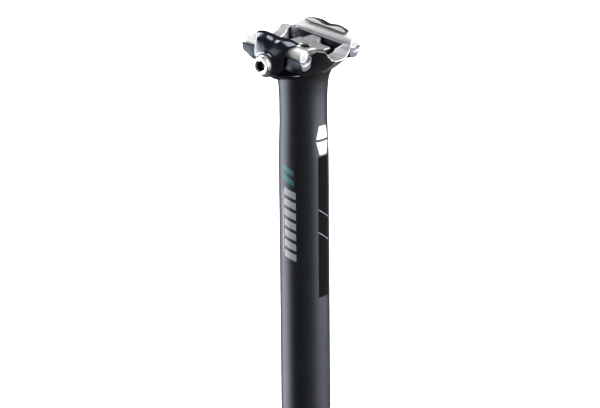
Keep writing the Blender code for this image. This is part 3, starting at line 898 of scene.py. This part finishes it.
def printed(name, patches, material, thickness=0.05):
    """One thin layer of ink made of four-cornered patches; corners are (angle, height)."""
    points, faces = [], []
    for corners in patches:
        (a0, z0), (a1, z1), (a2, z2), (a3, z3) = corners
        across = max(2, int(max(abs(a1 - a0), abs(a2 - a3)) / PATCH_DEGREES) + 1)
        tall = max(2, int(max(abs(z3 - z0), abs(z2 - z1)) / PATCH_TALL) + 1)
        start = len(points)
        for lift in (0.0, thickness):
            for j in range(tall + 1):
                for i in range(across + 1):
                    s, t = i / across, j / tall
                    angle = (a0 * (1 - s) + a1 * s) * (1 - t) + (a3 * (1 - s) + a2 * s) * t
                    z = (z0 * (1 - s) + z1 * s) * (1 - t) + (z3 * (1 - s) + z2 * s) * t
                    points.append(on_tube(angle, z, lift))
        row, sheet = across + 1, (across + 1) * (tall + 1)

        def at(i, j, layer):
            return start + layer * sheet + j * row + i

        for j in range(tall):
            for i in range(across):
                for layer in (0, 1):
                    quad = [at(i + di, j + dj, layer) for di, dj in ((0, 0), (1, 0), (1, 1), (0, 1))]
                    faces.append(quad[::-1] if layer else quad)
        for i in range(across):
            faces.append([at(i, 0, 0), at(i, 0, 1), at(i + 1, 0, 1), at(i + 1, 0, 0)])
            faces.append([at(i, tall, 0), at(i + 1, tall, 0), at(i + 1, tall, 1), at(i, tall, 1)])
        for j in range(tall):
            faces.append([at(0, j, 0), at(0, j + 1, 0), at(0, j + 1, 1), at(0, j, 1)])
            faces.append([at(across, j, 0), at(across, j, 1), at(across, j + 1, 1), at(across, j + 1, 0)])
    obj = to_object(name, points, faces, POST, material, smooth=False)
    bm = bmesh.new()
    bm.from_mesh(obj.data)
    bmesh.ops.recalc_face_normals(bm, faces=bm.faces)
    bm.to_mesh(obj.data)
    bm.free()
    return obj


def graphics():
    """Plain shapes in the places where the post carries print: none of them is a letter or a badge."""
    upper = ((12.0, -45.4), (-12.0, -45.4), (-21.0, -52.5), (21.0, -52.5))
    lower = ((21.0, -54.1), (-21.0, -54.1), (-12.0, -61.2), (12.0, -61.2))

    bars, top, pitch, slant, deep = [], -79.2, 5.8, 2.6, 3.9
    for k in range(7):
        z = top - k * pitch
        bars.append(((103.0, z), (71.0, z - slant), (71.0, z - slant - deep), (103.0, z - deep)))
    bars.append(((109.0, top - 2.0), (106.5, top - 2.0), (106.5, top - 37.0), (109.0, top - 37.0)))
    slashes = [((106.0, z), (76.0, z - 3.7), (76.0, z - 7.0), (106.0, z - 3.3)) for z in (-66.0, -71.2)]

    left, right, high, low = 17.4, -17.4, -62.2, -141.2
    panel = ((left, high), (right, high), (right, low), (left, low))
    lines = [((left, z), (right, z - 5.3), (right, z - 5.75), (left, z - 0.45)) for z in (-91.4, -104.2)]
    return [
        printed("front_hexagon", [upper, lower], WHITE_INK),
        printed("side_bars", bars, PALE_INK),
        printed("side_slashes", slashes, TEAL_INK),
        printed("front_panel", [panel], PANEL),
        printed("panel_lines", lines, LINE_INK, thickness=0.08),
    ]


# ---------------------------------------------------------------- assembly

BODY_OF = {
    node: body for body, members in frame["record"]["behaviour"]["bodies"].items() for node in members
}


def fit(piece, node):
    """Puts a piece in the place of its CAD node."""
    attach(piece, BODY_OF[node])
    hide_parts(node)


def build():
    fit(carbon_shaft(), "carbon_shaft")
    head, spigot = forged_head()
    fit(head, "forged_head")
    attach(spigot, "post")
    for node, piece in {**clamps(), **fasteners(), **transport_rods()}.items():
        fit(piece, node)
    for layer in graphics():
        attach(layer, "post")


# ---------------------------------------------------------------- studio

CAMERA_AT = Vector((-1.56704, -1.24384, 0.79621))
CAMERA_TURN = (-51.494, 15.038, -0.52)  # azimuth, elevation, roll
CAMERA_LENS, CAMERA_SENSOR = 227.998, 36.0

AMBIENT, CEILING, CEILING_FROM, CEILING_FULL = 0.05, 2.6, 64.0, 74.0
SOFT_BOXES = [  # turn from and to, height from and to, softness at each turn and of the heights, strength
    (-132.0, -79.0, -42.0, 30.0, 9.0, 15.0, 7.0, 4.0),
    (-152.0, -112.0, 2.0, 50.0, 6.0, 6.0, 5.0, 4.2),
    (54.0, 116.0, -9.0, 55.0, 20.0, 2.0, 3.0, 9.0),
]


def camera():
    azimuth, elevation, roll = (math.radians(a) for a in CAMERA_TURN)
    level = math.cos(elevation)
    back = Vector((math.sin(azimuth) * level, -math.cos(azimuth) * level, math.sin(elevation)))
    right = (-back).cross(Vector((0, 0, 1))).normalized()
    up = right.cross(-back)
    across = right * math.cos(roll) + up * math.sin(roll)
    upward = up * math.cos(roll) - right * math.sin(roll)
    data = bpy.data.cameras.new("camera")
    data.lens, data.sensor_width = CAMERA_LENS, CAMERA_SENSOR
    obj = bpy.data.objects.new("camera", data)
    bpy.context.scene.collection.objects.link(obj)
    turn = Matrix((across, upward, back)).transposed().to_4x4()
    obj.matrix_world = Matrix.Translation(CAMERA_AT) @ turn
    bpy.context.scene.camera = obj


def studio():
    """White surroundings for the camera; tall soft boxes and a dim ceiling for everything else."""
    world = bpy.data.worlds.new("studio")
    bpy.context.scene.world = world
    world.use_nodes = True
    nodes, links = world.node_tree.nodes, world.node_tree.links
    nodes.clear()

    def math_node(operation, *values):
        node = nodes.new("ShaderNodeMath")
        node.operation = operation
        for i, value in enumerate(values):
            if isinstance(value, bpy.types.NodeSocket):
                links.new(value, node.inputs[i])
            else:
                node.inputs[i].default_value = value
        return node.outputs[0]

    def times(a, b):
        return math_node("MULTIPLY", a, b)

    def ramp(*ends):
        return map_range(world.node_tree, *ends, smooth=True)

    direction = nodes.new("ShaderNodeTexCoord").outputs["Generated"]
    split = nodes.new("ShaderNodeSeparateXYZ")
    links.new(direction, split.inputs["Vector"])
    x, y, z = split.outputs
    facing = math.atan2(CAMERA_AT.y, CAMERA_AT.x)
    # degrees round the object from the camera, positive to the camera's right
    ahead = math_node("ADD", times(x, math.cos(facing)), times(y, math.sin(facing)))
    aside = math_node("ADD", times(x, -math.sin(facing)), times(y, math.cos(facing)))
    turn = times(math_node("ARCTAN2", aside, ahead), 180 / math.pi)
    height = times(math_node("ARCSINE", z), 180 / math.pi)

    def soft_box(from_turn, to_turn, low, high, soft_from, soft_to, soft_up, strength):
        a = ramp(turn, from_turn - soft_from, from_turn + soft_from, 0.0, 1.0)
        b = ramp(turn, to_turn - soft_to, to_turn + soft_to, 1.0, 0.0)
        c = ramp(height, low - soft_up, low + soft_up, 0.0, 1.0)
        d = ramp(height, high - soft_up, high + soft_up, 1.0, 0.0)
        return times(times(a, b), times(times(c, d), strength))

    light = math_node("ADD", AMBIENT, ramp(height, CEILING_FROM, CEILING_FULL, 0.0, CEILING))
    for box in SOFT_BOXES:
        light = math_node("ADD", light, soft_box(*box))
    seen = nodes.new("ShaderNodeLightPath").outputs["Is Camera Ray"]
    strength = math_node("ADD", times(light, math_node("SUBTRACT", 1.0, seen)), seen)
    background = nodes.new("ShaderNodeBackground")
    background.inputs["Color"].default_value = (1.0, 1.0, 1.0, 1.0)
    links.new(strength, background.inputs["Strength"])
    links.new(background.outputs[0], nodes.new("ShaderNodeOutputWorld").inputs["Surface"])


FLOOR_HALF, FLOOR_GAP = 15.0, 0.0005  # metres


def floor():
    """A pale floor just under the post, seen by the camera only."""
    bm = bmesh.new()
    bmesh.ops.create_grid(bm, x_segments=2, y_segments=2, size=FLOOR_HALF)
    mesh = bpy.data.meshes.new("floor")
    bm.to_mesh(mesh)
    bm.free()
    obj = bpy.data.objects.new("floor", mesh)
    obj.location.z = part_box("carbon_shaft")[0].z - FLOOR_GAP
    bpy.context.scene.collection.objects.link(obj)
    s = Shader("pale_floor", Roughness=0.9)
    s.set("Base Color", s.mix(s.noise(0.02), (0.90, 0.90, 0.90), (0.92, 0.92, 0.92)))
    s.set("Emission Color", (1.0, 1.0, 1.0))
    s.set("Emission Strength", 0.85)
    mesh.materials.append(s.material)
    obj.visible_glossy = obj.visible_diffuse = obj.visible_shadow = False


build()
floor()
studio()
camera()
bpy.context.scene.view_settings.view_transform = "Standard"
